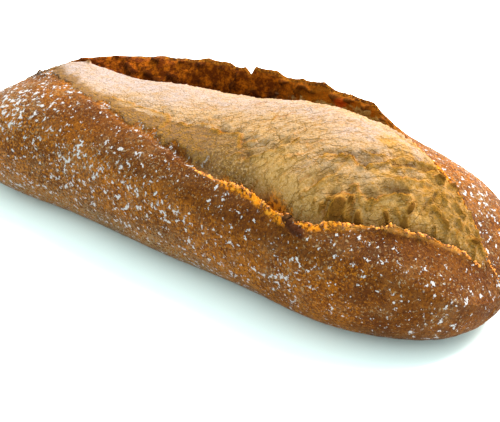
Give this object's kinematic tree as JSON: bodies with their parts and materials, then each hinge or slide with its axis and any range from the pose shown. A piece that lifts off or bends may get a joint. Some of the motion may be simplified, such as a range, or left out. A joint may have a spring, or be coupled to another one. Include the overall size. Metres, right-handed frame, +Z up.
{
  "type": "country bread",
  "caption": "Oblong hearth-baked loaf with a flat base, one lengthwise score burst open over a dome of torn crumb, and a raised ear of crust along its far side.",
  "frame": {"origin": "on the table under the middle of the loaf, at the bottom centre of its box", "axes": "+X along the loaf towards the end where the score comes to a point, +Y across it towards the side with the ear, +Z up"},
  "size_m": [0.308, 0.1119, 0.0783],
  "materials": {
    "crust": "baked bread crust, matt, amber brown with flour"
  },
  "bodies": {
    "root": {"loaf": "crust"}
  },
  "joints": []
}
